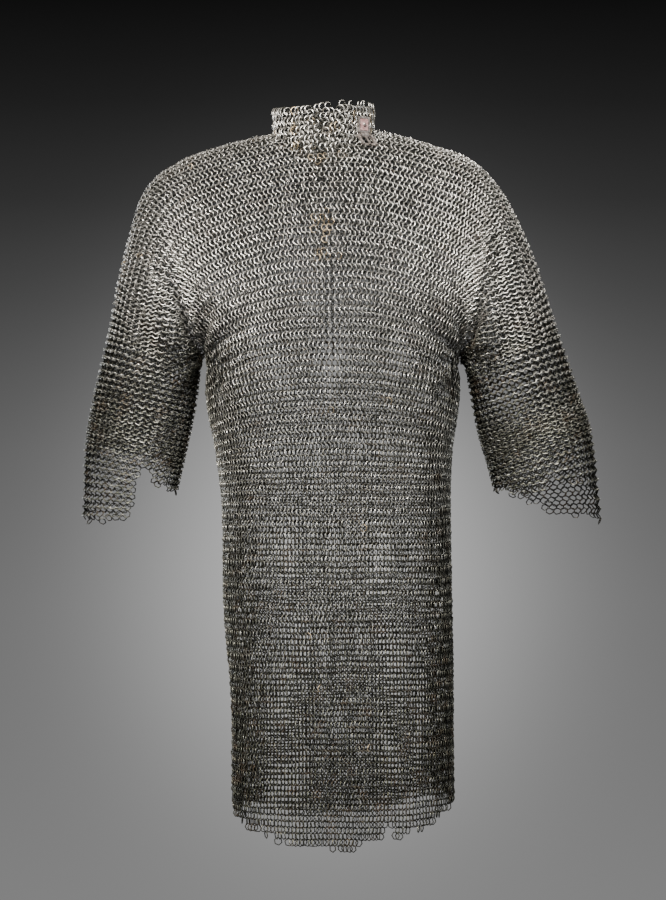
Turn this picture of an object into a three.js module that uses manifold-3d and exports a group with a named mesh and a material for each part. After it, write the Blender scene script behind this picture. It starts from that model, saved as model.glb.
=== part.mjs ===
// A hauberk of linked iron rings, hanging as it is worn: a body of two sheets, two sleeves, a standing
// collar and the small buckle on it. Millimetres, +Z up, the front faces -Y, +X is the viewer's right.
// The origin is the middle of the neck at the foot of the collar.
import * as THREE from "three";
import { mergeVertices } from "three/addons/utils/BufferGeometryUtils.js";
import Module from "manifold-3d";

const wasm = await Module();
wasm.setup();

// ---- Driving dimensions ----

const WALL = 5; // thickness of the linked rings
const SEAM_GAP = 0.4; // between sheets that meet at a seam
const EDGE_WAVE = 0.12; // every other ring stands this much further back along a seam
const FOOT_ROOM = 0.8; // between the cloth and the collar that stands on it
const PLACE_WIDTH = 58; // how far apart the places of the shoulder line stand beside the neck

const FRONT = -1;
const BACK = 1;

const ROUNDNESS = 2.3; // power of the body's cross-section: 2 is an ellipse, more is squarer
const HEM_HEIGHT = -753; // where the hem's cut is measured across
const SHIRT_ENDS = { armhole: 4, cuff: 9 }; // places along the shoulder line, counted from the neck
const PANEL_GRID = { columns: 28, yokeRows: 12, bodyRows: 14 };
const SLEEVE_GRID = { around: 24, along: 12 };

// Horizontal cross-sections of the body, from the armpits to the hem.
// height, middle, half width, depth in front, depth behind
const BODY_SECTIONS = [
  [-200, 8, 144, 110, 101],
  [-243, 9, 143, 110, 100],
  [-305, 10.3, 140, 107, 97],
  [-351, 12, 133.8, 104, 94],
  [-408, 13.8, 129.8, 101, 93],
  [-523, 15.5, 129.2, 99, 94],
  [-638, 20, 124.6, 98, 96],
  [-753, 21.3, 124.6, 97, 97],
  [-820, 21.5, 124.6, 97, 97],
];

// The shirt above the armpits, from the left cuff over the shoulders to the right cuff. At each place a
// curve runs from the shoulder line round the front, and another round the back, to the armpit's level.
// place, top x, top z, top pull, lower pull x, y, z, turn round the body in degrees, low x, low z
const SHOULDER_LINE = [
  [-9, -276, -432, 68, -178, 68, -430, -90, -178, -430],
  [-8, -273.5, -350, 72, -165, 72, -374, -90, -165, -374],
  [-7, -264, -295, 75, -153, 75, -318, -90, -153, -318],
  [-6, -248, -225, 78, -142, 78, -262, -90, -143, -262],
  [-5, -229, -135, 82, -142, 81, -240, -90, -141, -249],
  [-4, -205, -57, 82, -146, 82, -214, -90, -138, -243],
  [-3, -162, -20, 66, -131, 80, -168, -62, 0, -231],
  [-2, -110, -2, 60, -92, 93, -120, -38, 0, -216],
  [-1, -55, 12, 58, -44, 106, -98, -18, 0, -207],
  [0, 0, 18, 58, 8, 110, -93, 0, 0, -205],
  [1, 60, 13, 58, 61, 106, -98, 18, 0, -207],
  [2, 118, -1, 60, 110, 93, -120, 38, 0, -216],
  [3, 167, -18, 66, 149, 80, -168, 62, 0, -231],
  [4, 203, -56, 82, 164, 82, -214, 90, 156, -243],
  [5, 240, -132, 82, 160, 81, -240, 90, 159, -249],
  [6, 270, -222, 78, 162, 78, -262, 90, 163, -262],
  [7, 292, -290, 75, 177, 75, -326, 90, 177, -326],
  [8, 306, -338, 72, 191, 72, -374, 90, 191, -374],
  [9, 318, -432, 68, 205, 68, -430, 90, 205, -430],
];

// The ragged lower edges, from the viewer's left to the right.
// x, z
const FRONT_HEM = [
  [-104, -757],
  [-80, -779],
  [-63, -772],
  [-52, -787],
  [2, -793],
  [33, -796],
  [38, -785],
  [66, -785],
  [70, -768],
  [88, -777],
  [121, -768],
  [146, -752],
];
const BACK_HEM = [
  [-104, -757],
  [-70, -770],
  [0, -780],
  [60, -776],
  [100, -758],
  [146, -742],
];

// How far each sleeve reaches, round its edge from the outer side by the front to the inner side and
// back behind it.
// turn in degrees, place
const CUFFS = {
  left: [
    [0, 8.93],
    [60, 8.97],
    [95, 8.9],
    [104, 8.1],
    [112, 8.05],
    [125, 8.35],
    [180, 8.4],
    [230, 7.95],
    [300, 7.85],
    [345, 8.2],
    [360, 8.93],
  ],
  right: [
    [0, 8.95],
    [20, 8.8],
    [35, 8.5],
    [78, 8.45],
    [84, 8.35],
    [95, 8.55],
    [140, 8.5],
    [180, 8.35],
    [215, 8.3],
    [250, 8.75],
    [290, 8.95],
    [360, 8.95],
  ],
};

// Where each sleeve begins, round its edge: it leaves room for the fold between body and arm at the armpit.
// turn in degrees, place
const ARMHOLE_EDGE = [
  [0, 4.01],
  [100, 4.012],
  [130, 4.05],
  [155, 4.3],
  [180, 4.6],
  [205, 4.3],
  [230, 4.05],
  [260, 4.012],
  [360, 4.01],
];

const COLLAR = { middle: -1.3, halfWidth: 56.1, halfDepth: 54, columns: 38, holeSides: 42, rows: 3 };
const SLIT = { x: -4, width: 2.4, bottom: -126 };
// The ragged top of the collar, round from the middle of the front by the viewer's right.
// turn in degrees, z
const COLLAR_TOP = [
  [-180, 43],
  [-120, 42],
  [-75, 38],
  [-40, 36],
  [-5, 38],
  [5, 40],
  [15, 38],
  [22, 45],
  [60, 45],
  [100, 43],
  [180, 43],
];

// Shallow drag folds that fan out from each armpit, and the slack flutes of the skirt.
const ARMPIT_FOLDS = { height: 3.2, spread: 7.5, nearest: 18, farthest: 120, phase: 0.6 };
const SKIRT_FLUTES = { height: 2.4, count: 5, from: -470, full: -720, phase: 0.9 };

const BUCKLE = {
  x: 41.5,
  plateMiddle: 18.5,
  yaw: THREE.MathUtils.degToRad(30),
  standOff: 2.6,
  plateWidth: 15,
  plateHeight: 18,
  plateThickness: 2.4,
  border: 2.2,
  recess: 1.2,
  rivetRadius: 2,
  rivetHeight: 1.2,
  barRadius: 1.4,
  knuckleRadius: 3,
  knuckleWidth: 3.2,
  tongueWidth: 3,
  frameWidth: 20,
  frameLength: 17,
  frameBar: 3,
  sideBarDepth: 2.5,
  endBarDepth: 1.2,
  tongueDepth: 1.1,
  slope: THREE.MathUtils.degToRad(46),
};
const PLAY = 0.35; // between the parts of the buckle

// ---- Curves and tables ----

function slopeOf(from, to, column) {
  return (to[column] - from[column]) / (to[0] - from[0]);
}

function hermite(part, start, end, startSlope, endSlope) {
  const square = part * part;
  const cube = square * part;
  return (
    (2 * cube - 3 * square + 1) * start +
    (cube - 2 * square + part) * startSlope +
    (3 * square - 2 * cube) * end +
    (cube - square) * endSlope
  );
}

// The row of the table that holds the span around a place.
function spanAt(table, place) {
  const last = table.length - 1;
  const direction = Math.sign(table[last][0] - table[0][0]);
  let row = 0;
  while (row < last - 1 && direction * (place - table[row + 1][0]) > 0) {
    row += 1;
  }
  return row;
}

// All columns of a table at a place between its rows, on smooth curves.
function smoothRow(table, place) {
  const row = spanAt(table, place);
  const [from, to] = [table[row], table[row + 1]];
  const before = table[Math.max(row - 1, 0)];
  const after = table[Math.min(row + 2, table.length - 1)];
  const step = to[0] - from[0];
  const part = (place - from[0]) / step;
  return from.map((value, column) =>
    column === 0
      ? place
      : hermite(
          part,
          value,
          to[column],
          slopeOf(before, to, column) * step,
          slopeOf(from, after, column) * step,
        ),
  );
}

// The second column of a table along straight lines.
function straight(table, place) {
  const row = spanAt(table, place);
  const part = THREE.MathUtils.inverseLerp(table[row][0], table[row + 1][0], place);
  return THREE.MathUtils.lerp(table[row][1], table[row + 1][1], THREE.MathUtils.clamp(part, 0, 1));
}

function bezier(points, part) {
  const rest = 1 - part;
  const weights = [rest ** 3, 3 * rest * rest * part, 3 * rest * part * part, part ** 3];
  const sum = new THREE.Vector3();
  points.forEach((point, index) => sum.addScaledVector(point, weights[index]));
  return sum;
}

// ---- The cloth's middle surface ----

function power(value, exponent) {
  return Math.sign(value) * Math.abs(value) ** exponent;
}

// A point of the body at a turn from the middle of its front or back, and at a height.
function bodyPoint(turn, height, face) {
  const [, middle, halfWidth, front, back] = smoothRow(BODY_SECTIONS, height);
  const depth = face === FRONT ? front : back;
  const angle = THREE.MathUtils.degToRad(turn);
  return new THREE.Vector3(
    middle + halfWidth * power(Math.sin(angle), 2 / ROUNDNESS),
    face * depth * power(Math.max(Math.cos(angle), 0), 2 / ROUNDNESS),
    height,
  );
}

// A point of the shoulders or of a sleeve: down runs from 0 on the shoulder line to 1 at the armpit.
function shoulderPoint(place, down, face) {
  const row = smoothRow(SHOULDER_LINE, place);
  const [, topX, topZ, topPull, pullX, pullY, pullZ, turn, lowX, lowZ] = row;
  const onBody = Math.abs(place) < SHIRT_ENDS.armhole;
  const low = onBody ? bodyPoint(turn, lowZ, face) : new THREE.Vector3(lowX, 0, lowZ);
  const fuller = face === FRONT ? 1 : backShare(lowZ);
  return bezier(
    [
      new THREE.Vector3(topX, 0, topZ),
      new THREE.Vector3(topX, face * topPull, topZ),
      new THREE.Vector3(pullX, face * pullY * fuller, pullZ),
      low,
    ],
    down,
  );
}

// How deep the back is, as a share of the front.
function backShare(height) {
  const [, , , front, back] = smoothRow(BODY_SECTIONS, height);
  return back / front;
}

// A point of the front or back sheet: down runs from 0 on the shoulder line by 1 to 2 at the hem.
function panelPoint(place, down, face) {
  if (down <= 1) {
    return shoulderPoint(place, down, face);
  }
  const [, , , , , , , turn, , lowZ] = smoothRow(SHOULDER_LINE, place);
  const hemX = bodyPoint(turn, HEM_HEIGHT, face).x;
  const hem = straight(face === FRONT ? FRONT_HEM : BACK_HEM, hemX);
  return bodyPoint(turn, THREE.MathUtils.lerp(lowZ, hem, down - 1), face);
}

// How far the cloth stands out from its even surface at a point.
function foldHeight(point) {
  const side = point.x < 0 ? -SHIRT_ENDS.armhole : SHIRT_ENDS.armhole;
  const [, , , , , , , , armpitX, armpitZ] = smoothRow(SHOULDER_LINE, side);
  const out = Math.abs(point.x) - Math.abs(armpitX);
  const away = Math.hypot(out, point.z - armpitZ);
  const { height, spread, nearest, farthest, phase } = ARMPIT_FOLDS;
  const fade =
    THREE.MathUtils.smoothstep(away, 0, nearest) * (1 - THREE.MathUtils.smoothstep(away, nearest, farthest));
  const fan = Math.sin(spread * Math.atan2(point.z - armpitZ, -out) + phase);
  const slack = THREE.MathUtils.smoothstep(-point.z, -SKIRT_FLUTES.from, -SKIRT_FLUTES.full);
  const round = Math.atan2(point.x, -point.y);
  const flute = Math.sin(SKIRT_FLUTES.count * round + SKIRT_FLUTES.phase);
  return height * fade * fan + SKIRT_FLUTES.height * slack * flute;
}

// ---- Sheets ----

const CUT_REACH = 160; // past the cloth on every side
const WELD = 0.15; // corners of a cut closer than this become one
const STEP = 1e-3; // for the slopes that give a surface its normals
const FOOT_ROUNDS = 8; // for the place on the shoulders under the collar
const FOOT_HALVINGS = 20;

// The outward normal of a surface of two parameters, turned so that it agrees with the given side.
function normalOf(surface, first, second, side) {
  const alongFirst = surface(first + STEP, second).sub(surface(first - STEP, second));
  const alongSecond = surface(first, second + STEP).sub(surface(first, second - STEP));
  return alongFirst.cross(alongSecond).multiplyScalar(side).normalize();
}

// A closed solid from a grid of inner and outer points. A tube's last column joins its first.
function solidFromGrid(inner, outer, tube) {
  const rows = inner.length;
  const columns = inner[0].length;
  const at = (layer, row, column) => (layer * rows + row) * columns + (column % columns);
  const index = [];
  const quad = (a, b, c, d) => index.push(a, b, c, a, c, d);
  const spans = tube ? columns : columns - 1;
  for (let row = 0; row < rows - 1; row += 1) {
    for (let column = 0; column < spans; column += 1) {
      const [below, beside] = [row + 1, column + 1];
      quad(at(1, row, column), at(1, below, column), at(1, below, beside), at(1, row, beside));
      quad(at(0, row, column), at(0, row, beside), at(0, below, beside), at(0, below, column));
    }
  }
  for (let column = 0; column < spans; column += 1) {
    const last = rows - 1;
    quad(at(0, 0, column), at(1, 0, column), at(1, 0, column + 1), at(0, 0, column + 1));
    quad(at(1, last, column), at(0, last, column), at(0, last, column + 1), at(1, last, column + 1));
  }
  for (let row = 0; row < rows - 1 && !tube; row += 1) {
    const last = columns - 1;
    quad(at(1, row, 0), at(0, row, 0), at(0, row + 1, 0), at(1, row + 1, 0));
    quad(at(0, row, last), at(1, row, last), at(1, row + 1, last), at(0, row + 1, last));
  }
  const corners = [...inner.flat(), ...outer.flat()].flatMap((point) => point.toArray());
  const positions = new THREE.Float32BufferAttribute(corners, 3);
  return toSolid(new THREE.BufferGeometry().setAttribute("position", positions).setIndex(index));
}

function toSolid(geometry) {
  const plain = geometry.clone();
  plain.deleteAttribute("normal");
  plain.deleteAttribute("uv");
  const merged = mergeVertices(plain, 1e-4);
  return new wasm.Manifold(
    new wasm.Mesh({
      numProp: 3,
      vertProperties: merged.attributes.position.array,
      triVerts: new Uint32Array(merged.index.array),
    }),
  );
}

function toGeometry(solid) {
  const { numProp, vertProperties, triVerts } = solid.getMesh();
  const corners = [];
  for (let vertex = 0; vertex < vertProperties.length; vertex += numProp) {
    corners.push(...vertProperties.subarray(vertex, vertex + 3));
  }
  const cut = new THREE.BufferGeometry()
    .setAttribute("position", new THREE.Float32BufferAttribute(corners, 3))
    .setIndex(new THREE.BufferAttribute(triVerts, 1));
  const welded = mergeVertices(cut, WELD);
  const kept = [];
  const { array } = welded.index;
  for (let first = 0; first < array.length; first += 3) {
    const [a, b, c] = array.subarray(first, first + 3);
    if (a !== b && b !== c && c !== a) {
      kept.push(a, b, c);
    }
  }
  return welded.setIndex(kept);
}

// One sheet of the body. Its edges on the shoulders and down the sides stay on their own side of the
// seam, so their normals lie in the seam's plane.
function bodySheet(face) {
  const reach = SHIRT_ENDS.armhole;
  const { columns, yokeRows, bodyRows } = PANEL_GRID;
  const surface = (place, down) =>
    panelPoint(THREE.MathUtils.clamp(place, -reach + STEP, reach - STEP), down, face);
  const [inner, outer] = [[], []];
  const downs = [
    ...Array.from({ length: yokeRows }, (_, row) => row / yokeRows),
    ...Array.from({ length: bodyRows + 1 }, (_, row) => 1 + row / bodyRows),
  ];
  downs.forEach((down, row) => {
    inner.push([]);
    outer.push([]);
    for (let column = 0; column <= columns; column += 1) {
      const place = -reach + (2 * reach * column) / columns;
      const atSide = column === 0 || column === columns;
      const point = surface(place, down);
      const normal = normalOf(surface, place, Math.max(down, STEP), face);
      if (down === 0 || (atSide && down > 1)) {
        normal.setY(0).normalize();
      }
      point.addScaledVector(normal, foldHeight(point));
      const edge = SEAM_GAP / 2 + EDGE_WAVE * ((row + column) % 2);
      point.y = face * Math.max(face * point.y, edge);
      inner[row].push(point.clone().addScaledVector(normal, -WALL / 2));
      outer[row].push(point.clone().addScaledVector(normal, WALL / 2));
    }
  });
  const sided = (grid) => (face === FRONT ? grid : mirrored(grid));
  return solidFromGrid(sided(inner), sided(outer), false);
}

function mirrored(grid) {
  return grid.map((row) => [...row].reverse());
}

// A sleeve's whole ring: the turn runs from the outer side by the front, the inner side and the back.
function sleevePoint(side, place, turn) {
  const round = THREE.MathUtils.euclideanModulo(turn, 360);
  const face = round <= 180 ? FRONT : BACK;
  const down = round <= 180 ? round / 180 : (360 - round) / 180;
  return shoulderPoint(side * place, down, face);
}

function sleeveTube(side, cuff) {
  const { around, along } = SLEEVE_GRID;
  const surface = (place, turn) => sleevePoint(side, Math.max(place, SHIRT_ENDS.armhole), turn);
  const [inner, outer] = [[], []];
  for (let row = 0; row <= along; row += 1) {
    inner.push([]);
    outer.push([]);
    for (let column = 0; column < around; column += 1) {
      const turn = (360 * column) / around;
      const [start, end] = [straight(ARMHOLE_EDGE, turn), straight(cuff, turn)];
      const place = THREE.MathUtils.lerp(start, end, row / along);
      const point = surface(place, turn);
      const normal = normalOf(surface, place + STEP, turn, side);
      point.addScaledVector(normal, foldHeight(point));
      inner[row].push(point.clone().addScaledVector(normal, -WALL / 2));
      outer[row].push(point.clone().addScaledVector(normal, WALL / 2));
    }
  }
  const sided = (grid) => (side > 0 ? grid : mirrored(grid));
  return solidFromGrid(sided(inner), sided(outer), true);
}

// ---- Collar ----

function collarPoint(turn, height, outward) {
  const angle = THREE.MathUtils.degToRad(turn);
  return new THREE.Vector3(
    COLLAR.middle + (COLLAR.halfWidth + outward) * Math.sin(angle),
    -(COLLAR.halfDepth + outward) * Math.cos(angle),
    height,
  );
}

// The height of the cloth's outer face, with room to stand on, above a place beside the neck.
function footHeight(x, y) {
  const face = y < 0 ? FRONT : BACK;
  const surface = (place, down) => panelPoint(place, down, face);
  let place = x / PLACE_WIDTH;
  let down = 0;
  for (let round = 0; round < FOOT_ROUNDS; round += 1) {
    let [low, high] = [0, 1];
    for (let halving = 0; halving < FOOT_HALVINGS; halving += 1) {
      down = (low + high) / 2;
      if (Math.abs(surface(place, down).y) < Math.abs(y)) {
        low = down;
      } else {
        high = down;
      }
    }
    place += (x - surface(place, down).x) / PLACE_WIDTH;
  }
  const rise = normalOf(surface, place, Math.max(down, STEP), face).z;
  return surface(place, down).z + (WALL / 2 + FOOT_ROOM) / rise;
}

// The band from one side of the slit round the neck to the other. Its foot follows the shoulders.
function collarBand() {
  const slitTurn = THREE.MathUtils.radToDeg(Math.asin((SLIT.x - COLLAR.middle) / COLLAR.halfWidth));
  const halfSlit = THREE.MathUtils.radToDeg(SLIT.width / 2 / COLLAR.halfDepth);
  const ring = (outward, row) =>
    Array.from({ length: COLLAR.columns + 1 }, (_, column) => {
      const turn = slitTurn + halfSlit + ((360 - 2 * halfSlit) * column) / COLLAR.columns;
      const top = straight(COLLAR_TOP, turn > 180 ? turn - 360 : turn);
      const { x, y } = collarPoint(turn, 0, outward);
      return new THREE.Vector3(x, y, THREE.MathUtils.lerp(footHeight(x, y), top, row / COLLAR.rows));
    });
  const rows = Array.from({ length: COLLAR.rows + 1 }, (_, row) => COLLAR.rows - row);
  return solidFromGrid(
    rows.map((row) => ring(-WALL / 2, row)),
    rows.map((row) => ring(WALL / 2, row)),
    false,
  );
}

// The hole that the collar stands round.
function neckHole() {
  const [acrossHalf, depthHalf] = [COLLAR.halfWidth - WALL / 2, COLLAR.halfDepth - WALL / 2];
  const shape = new THREE.Shape();
  shape.absellipse(COLLAR.middle, 0, acrossHalf, depthHalf, 0, 2 * Math.PI, false, 0);
  const sides = { depth: 2 * CUT_REACH, bevelEnabled: false, curveSegments: COLLAR.holeSides };
  return toSolid(new THREE.ExtrudeGeometry(shape, sides).translate(0, 0, -CUT_REACH));
}

// The slot from the neck down the front.
function slitCut() {
  const cut = new THREE.BoxGeometry(SLIT.width, 2 * CUT_REACH, 2 * CUT_REACH);
  return toSolid(cut.translate(SLIT.x, -CUT_REACH, SLIT.bottom + CUT_REACH));
}

// ---- Buckle, in its own frame: x across, y out of the cloth is negative, the bar is at the origin ----

const BAR_SIDES = 16;

function box(width, depth, height, x, y, z) {
  return toSolid(new THREE.BoxGeometry(width, depth, height).translate(x, y, z));
}

// A round bar or ring along x.
function round(radius, length, x) {
  const bar = new THREE.CylinderGeometry(radius, radius, length, BAR_SIDES);
  return toSolid(bar.rotateZ(Math.PI / 2).translate(x, 0, 0));
}

function knuckle(width, x) {
  return round(BUCKLE.knuckleRadius, width, x);
}

function bore() {
  return round(BUCKLE.barRadius + PLAY, BUCKLE.frameWidth * 2, 0);
}

const plateBottom = BUCKLE.knuckleRadius + PLAY;
const plateBack = BUCKLE.knuckleRadius; // the knuckles' backs are flush with the plate's

// A knuckle with the short strip that joins it to the plate.
function lug(x) {
  const { knuckleWidth, plateThickness } = BUCKLE;
  const reach = plateBottom + PLAY;
  return knuckle(knuckleWidth, x).add(
    box(knuckleWidth, plateThickness, reach, x, plateBack - plateThickness / 2, reach / 2),
  );
}

function bucklePlate() {
  const { plateWidth, plateHeight, plateThickness, border, recess, knuckleWidth, tongueWidth } = BUCKLE;
  const middle = plateBottom + plateHeight / 2;
  const knuckleX = tongueWidth / 2 + PLAY + knuckleWidth / 2;
  const edge = 2 * border;
  return box(plateWidth, plateThickness, plateHeight, 0, plateBack - plateThickness / 2, middle)
    .subtract(box(plateWidth - edge, 2 * recess, plateHeight - edge, 0, plateBack - plateThickness, middle))
    .add(lug(-knuckleX))
    .add(lug(knuckleX))
    .subtract(bore());
}

function buckleInlay() {
  const { plateWidth, plateHeight, plateThickness, border, recess } = BUCKLE;
  const middle = plateBottom + plateHeight / 2;
  const depth = recess - PLAY;
  const y = plateBack - plateThickness + recess - PLAY - depth / 2;
  const edge = 2 * (border + PLAY);
  return box(plateWidth - edge, depth, plateHeight - edge, 0, y, middle);
}

// A low domed head on the inlay.
function buckleRivet() {
  const { plateHeight, plateThickness, rivetRadius, rivetHeight } = BUCKLE;
  const ball = new THREE.SphereGeometry(rivetRadius, BAR_SIDES, BAR_SIDES / 2);
  const dome = toSolid(ball.scale(1, rivetHeight / rivetRadius, 1));
  const front = box(2 * rivetRadius, rivetHeight, 2 * rivetRadius, 0, -rivetHeight / 2, 0);
  const y = plateBack - plateThickness - 2 * PLAY;
  return dome.intersect(front).translate([0, y, plateBottom + plateHeight / 2]);
}

// A loop with a round top bar. Its end bar is set back, so that the tongue rests over it.
function buckleFrame() {
  const { frameWidth, frameLength, frameBar, barRadius, sideBarDepth, endBarDepth } = BUCKLE;
  const x = frameWidth / 2 - frameBar / 2;
  const endY = sideBarDepth / 2 - endBarDepth / 2;
  return round(barRadius, frameWidth, 0)
    .add(box(frameBar, sideBarDepth, frameLength, -x, 0, -frameLength / 2))
    .add(box(frameBar, sideBarDepth, frameLength, x, 0, -frameLength / 2))
    .add(box(2 * x, endBarDepth, frameBar, 0, endY, -frameLength + frameBar / 2));
}

function buckleTongue() {
  const { frameLength, barRadius, tongueWidth, tongueDepth } = BUCKLE;
  const length = frameLength - barRadius - 2 * PLAY;
  const y = -barRadius + tongueDepth / 2;
  return knuckle(tongueWidth, 0)
    .add(box(tongueWidth, tongueDepth, length, 0, y, -barRadius - PLAY - length / 2))
    .subtract(bore());
}

// ---- The garment ----

function material(colour, roughness, metalness) {
  return new THREE.MeshStandardMaterial({ color: colour, roughness, metalness });
}

const iron = material(0x8a8880, 0.42, 0.9);
const heavyIron = material(0x96948c, 0.4, 0.9);
const darkIron = material(0x6f6a66, 0.45, 0.85);
const copperRed = material(0x9a5c54, 0.55, 0.35);

function named(name, solid, colour) {
  const mesh = new THREE.Mesh(toGeometry(solid), colour);
  mesh.name = name;
  return mesh;
}

// The buckle hangs on the collar, beside the slit; its frame and tongue lie down the slope of the chest.
function buckle() {
  const { x, yaw, standOff, plateMiddle, plateHeight, slope } = BUCKLE;
  const turn = THREE.MathUtils.radToDeg(Math.asin((x - COLLAR.middle) / COLLAR.halfWidth));
  const barHeight = plateMiddle - plateBottom - plateHeight / 2;
  const outward = new THREE.Vector3(Math.sin(yaw), -Math.cos(yaw), 0);
  const whole = new THREE.Group();
  whole.rotation.z = yaw;
  whole.position.copy(collarPoint(turn, barHeight, WALL / 2));
  whole.position.addScaledVector(outward, standOff + plateBack);
  const hanging = new THREE.Group();
  hanging.rotation.x = -slope;
  whole.add(named("buckle_plate", bucklePlate(), darkIron));
  whole.add(named("buckle_inlay", buckleInlay(), copperRed));
  whole.add(named("buckle_rivet", buckleRivet(), darkIron));
  whole.add(hanging);
  hanging.add(named("buckle_frame", buckleFrame(), darkIron));
  hanging.add(named("buckle_tongue", buckleTongue(), darkIron));
  return whole;
}

const hauberk = new THREE.Group();
hauberk.add(named("body_front", bodySheet(FRONT).subtract(neckHole()).subtract(slitCut()), iron));
hauberk.add(named("body_back", bodySheet(BACK).subtract(neckHole()), iron));
hauberk.add(named("sleeve_left", sleeveTube(-1, CUFFS.left), iron));
hauberk.add(named("sleeve_right", sleeveTube(1, CUFFS.right), iron));
hauberk.add(named("collar", collarBand(), heavyIron));
hauberk.add(buckle());

export default hauberk;
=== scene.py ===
import math

import bpy
import numpy as np
from bpy.props import FloatProperty, FloatVectorProperty, IntProperty, PointerProperty
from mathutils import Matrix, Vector


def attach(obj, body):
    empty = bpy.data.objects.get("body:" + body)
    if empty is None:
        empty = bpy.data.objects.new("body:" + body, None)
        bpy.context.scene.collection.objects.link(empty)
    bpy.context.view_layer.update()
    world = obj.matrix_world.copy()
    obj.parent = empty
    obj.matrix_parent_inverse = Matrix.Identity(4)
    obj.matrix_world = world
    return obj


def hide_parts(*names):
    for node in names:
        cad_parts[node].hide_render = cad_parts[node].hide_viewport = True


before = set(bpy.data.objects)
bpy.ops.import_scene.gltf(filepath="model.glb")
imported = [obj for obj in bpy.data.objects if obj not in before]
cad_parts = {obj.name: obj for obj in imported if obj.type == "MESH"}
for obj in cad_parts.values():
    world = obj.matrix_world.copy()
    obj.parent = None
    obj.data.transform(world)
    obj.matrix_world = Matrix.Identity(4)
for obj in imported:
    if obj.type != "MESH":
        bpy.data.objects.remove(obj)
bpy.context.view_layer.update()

bl_info = {
    "name": "Iron Hauberk",
    "version": (1, 0, 0),
    "blender": (4, 5, 0),
    "location": "3D View > Sidebar > Hauberk",
    "description": "Links the mail of a hauberk ring by ring over its cut",
    "category": "Add Mesh",
}

# ---- The cut of the shirt, in millimetres: the same tables as the part's source ----

FRONT, BACK = -1, 1
ROUNDNESS = 2.3
ARMHOLE, SLEEVE_TOP, CUFF = 4, 6, 9  # places along the shoulder line, counted from the neck

# height, middle, half width, depth in front, depth behind
BODY_SECTIONS = (
    (-200, 8, 144, 110, 101),
    (-243, 9, 143, 110, 100),
    (-305, 10.3, 140, 107, 97),
    (-351, 12, 133.8, 104, 94),
    (-408, 13.8, 129.8, 101, 93),
    (-523, 15.5, 129.2, 99, 94),
    (-638, 20, 124.6, 98, 96),
    (-753, 21.3, 124.6, 97, 97),
    (-820, 21.5, 124.6, 97, 97),
)
# place, top x, top z, top pull, lower pull x, y, z, turn round the body, low x, low z
SHOULDER_LINE = (
    (-9, -276, -432, 68, -178, 68, -430, -90, -178, -430),
    (-8, -273.5, -350, 72, -165, 72, -374, -90, -165, -374),
    (-7, -264, -295, 75, -153, 75, -318, -90, -153, -318),
    (-6, -248, -225, 78, -142, 78, -262, -90, -143, -262),
    (-5, -229, -135, 82, -142, 81, -240, -90, -141, -249),
    (-4, -205, -57, 82, -146, 82, -214, -90, -138, -243),
    (-3, -162, -20, 66, -131, 80, -168, -62, 0, -231),
    (-2, -110, -2, 60, -92, 93, -120, -38, 0, -216),
    (-1, -55, 12, 58, -44, 106, -98, -18, 0, -207),
    (0, 0, 18, 58, 8, 110, -93, 0, 0, -205),
    (1, 60, 13, 58, 61, 106, -98, 18, 0, -207),
    (2, 118, -1, 60, 110, 93, -120, 38, 0, -216),
    (3, 167, -18, 66, 149, 80, -168, 62, 0, -231),
    (4, 203, -56, 82, 164, 82, -214, 90, 156, -243),
    (5, 240, -132, 82, 160, 81, -240, 90, 159, -249),
    (6, 270, -222, 78, 162, 78, -262, 90, 163, -262),
    (7, 292, -290, 75, 177, 75, -326, 90, 177, -326),
    (8, 306, -338, 72, 191, 72, -374, 90, 191, -374),
    (9, 318, -432, 68, 205, 68, -430, 90, 205, -430),
)
# x, height of the last whole rings
HEMS = {
    FRONT: (
        (-104, -757), (-80, -779), (-63, -772), (-52, -787), (2, -793), (33, -796),
        (38, -785), (66, -785), (70, -768), (88, -777), (121, -768), (146, -752),
    ),
    BACK: ((-104, -757), (-70, -770), (0, -780), (60, -776), (100, -758), (146, -742)),
}
# turn round the sleeve from its outer side by the front, place of the edge
CUFFS = {
    -1: (
        (0, 8.93), (60, 8.97), (95, 8.9), (104, 8.1), (112, 8.05), (125, 8.35),
        (180, 8.4), (230, 7.95), (300, 7.85), (345, 8.2), (360, 8.93),
    ),
    1: (
        (0, 8.95), (20, 8.8), (35, 8.5), (78, 8.45), (84, 8.35), (95, 8.55),
        (140, 8.5), (180, 8.35), (215, 8.3), (250, 8.75), (290, 8.95), (360, 8.95),
    ),
}
COLLAR_MIDDLE, COLLAR_HALF_WIDTH, COLLAR_HALF_DEPTH = -1.3, 56.1, 54
# turn round the neck from the middle of the front, height
COLLAR_TOP = (
    (-180, 43), (-120, 42), (-75, 38), (-40, 36), (-5, 38), (5, 40),
    (15, 38), (22, 45), (60, 45), (100, 43), (180, 43),
)
SLIT_X, SLIT_BOTTOM = -4, -126
SLIT_HALF_WIDTH, SLIT_SWAY, SLIT_WAVE, SLIT_RAGGED = 1.1, 2.2, 7, 1.2
COLLAR_GAP, COLLAR_GAP_SWAY, COLLAR_GAP_WAVE = 1.9, 1.5, 6  # the slit where it runs up the collar
NECK_LOW = -80  # rings above this height stay outside the neck
ARMPIT_FOLDS = {"height": 3.2, "spread": 7.5, "nearest": 18, "farthest": 120, "phase": 0.6}
SKIRT_FLUTES = {"height": 2.4, "count": 5, "from": -470, "full": -720, "phase": 0.9}

# ---- How the rings are set ----

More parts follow.
